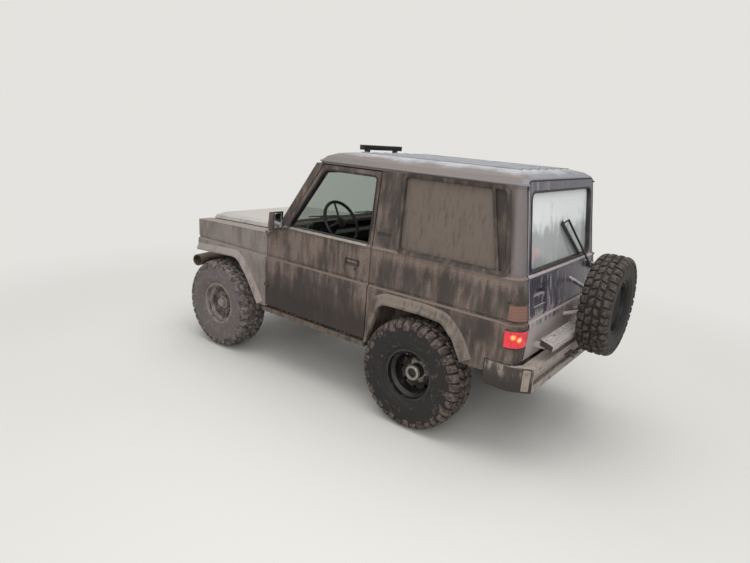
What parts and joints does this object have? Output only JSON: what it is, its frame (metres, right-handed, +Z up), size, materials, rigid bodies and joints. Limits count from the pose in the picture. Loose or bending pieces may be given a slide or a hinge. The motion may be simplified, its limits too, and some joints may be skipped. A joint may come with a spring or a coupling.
{
  "type": "lifted off-road 4x4",
  "caption": "Lifted short-wheelbase three-door off-road vehicle with lugged tyres, tube bumper, roof light bar and a spare wheel on its rear door.",
  "frame": {"origin": "on the ground, under the middle of the overall length and width", "axes": "+X to the vehicle's left, +Y to its rear, +Z up"},
  "size_m": [1.91, 3.947, 2.002],
  "materials": {
    "body_paint": "dark blue-violet paint under dried mud",
    "roof_paint": "pale dusty paint",
    "frame_black": "black paint with mud",
    "bumper_steel": "muddy paint",
    "axle_iron": "muddy cast housing",
    "spring_steel": "dull",
    "bright_steel": "dull",
    "tyre_rubber": "matt with mud",
    "rim_light": "muddy light grey",
    "rim_dark": "black paint",
    "glass": "clear with dried mud",
    "lamp_clear": "clear lens",
    "lamp_red": "red and amber lens",
    "trim_black": "matt",
    "seat_cloth": "black cloth",
    "engine_iron": "dull"
  },
  "bodies": {
    "body": {"body_side_left": "body_paint", "body_side_right": "body_paint", "side_glass": "glass", "windscreen_frame": "body_paint", "windscreen_glass": "glass", "roof": "roof_paint", "roof_light_bar": "lamp_clear", "fender_left": "body_paint", "fender_right": "body_paint", "grille_panel": "body_paint", "front_lamps": "lamp_clear", "chassis_frame": "frame_black", "floor_tub": "frame_black", "tail_lamps": "lamp_red", "front_bumper": "bumper_steel", "rear_bumper": "bumper_steel", "rock_sliders": "frame_black", "front_axle": "axle_iron", "rear_axle": "axle_iron", "leaf_springs": "spring_steel", "dampers": "frame_black", "engine_block": "engine_iron", "radiator": "frame_black", "gearbox": "engine_iron", "propshafts": "spring_steel", "exhaust": "bright_steel", "fuel_tank": "frame_black", "dashboard": "trim_black", "front_seats": "seat_cloth", "rear_bench": "seat_cloth"},
    "door_left": {"door_left": "body_paint"},
    "door_right": {"door_right": "body_paint", "door_glass_right": "glass"},
    "bonnet": {"bonnet": "body_paint"},
    "rear_door": {"rear_door": "body_paint", "rear_door_glass": "glass", "rear_wiper": "trim_black", "spare_tyre": "tyre_rubber", "spare_rim": "rim_light"},
    "knuckle_left": {"knuckle_left": "axle_iron"},
    "knuckle_right": {"knuckle_right": "axle_iron"},
    "tie_rod": {"tie_rod": "bright_steel"},
    "steering_wheel": {"steering_wheel": "trim_black"},
    "wheel_front_left": {"tyre_front_left": "tyre_rubber", "rim_front_left": "rim_light"},
    "wheel_front_right": {"tyre_front_right": "tyre_rubber", "rim_front_right": "rim_light"},
    "wheel_rear_left": {"tyre_rear_left": "tyre_rubber", "rim_rear_left": "rim_dark"},
    "wheel_rear_right": {"tyre_rear_right": "tyre_rubber", "rim_rear_right": "rim_dark"}
  },
  "joints": [
    {"name": "door_left_hinge", "type": "hinge", "parent": "body", "child": "door_left", "pos_m": [0.797, -0.7535, 1], "axis": [0, 0, -1], "range_deg": [0, 65]},
    {"name": "door_right_hinge", "type": "hinge", "parent": "body", "child": "door_right", "pos_m": [-0.797, -0.7535, 1], "axis": [0, 0, 1], "range_deg": [0, 65]},
    {"name": "bonnet_hinge", "type": "hinge", "parent": "body", "child": "bonnet", "pos_m": [0, -0.8275, 1.263], "axis": [-1, 0, 0], "range_deg": [0, 50]},
    {"name": "rear_door_hinge", "type": "hinge", "parent": "body", "child": "rear_door", "pos_m": [-0.655, 1.6135, 0.994], "axis": [0, -0.1304, 0.9915], "range_deg": [0, 90]},
    {"name": "steering_left", "type": "hinge", "parent": "body", "child": "knuckle_left", "pos_m": [0.54, -1.3885, 0.418], "axis": [0, 0, 1], "range_deg": [-28, 28]},
    {"name": "steering_right", "type": "hinge", "parent": "body", "child": "knuckle_right", "pos_m": [-0.54, -1.3885, 0.418], "axis": [0, 0, 1], "range_deg": [-28, 28]},
    {"name": "tie_rod_end", "type": "hinge", "parent": "knuckle_left", "child": "tie_rod", "pos_m": [0.54, -1.2385, 0.322], "axis": [0, 0, 1], "range_deg": [-28, 28]},
    {"name": "steering_wheel_turn", "type": "hinge", "parent": "body", "child": "steering_wheel", "pos_m": [0.36, -0.2905, 1.338], "axis": [0, 0.8619, 0.507], "range_deg": [-420, 420]},
    {"name": "wheel_front_left_spin", "type": "hinge", "parent": "knuckle_left", "child": "wheel_front_left", "pos_m": [0.7, -1.3885, 0.418], "axis": [1, 0, 0], "continuous": true},
    {"name": "wheel_front_right_spin", "type": "hinge", "parent": "knuckle_right", "child": "wheel_front_right", "pos_m": [-0.7, -1.3885, 0.418], "axis": [1, 0, 0], "continuous": true},
    {"name": "wheel_rear_left_spin", "type": "hinge", "parent": "body", "child": "wheel_rear_left", "pos_m": [0.7, 0.8165, 0.418], "axis": [1, 0, 0], "continuous": true},
    {"name": "wheel_rear_right_spin", "type": "hinge", "parent": "body", "child": "wheel_rear_right", "pos_m": [-0.7, 0.8165, 0.418], "axis": [1, 0, 0], "continuous": true}
  ],
  "couplings": [
    {"joint": "steering_right", "follows": "steering_left", "ratio": 1},
    {"joint": "tie_rod_end", "follows": "steering_left", "ratio": -1},
    {"joint": "steering_wheel_turn", "follows": "steering_left", "ratio": 15}
  ]
}
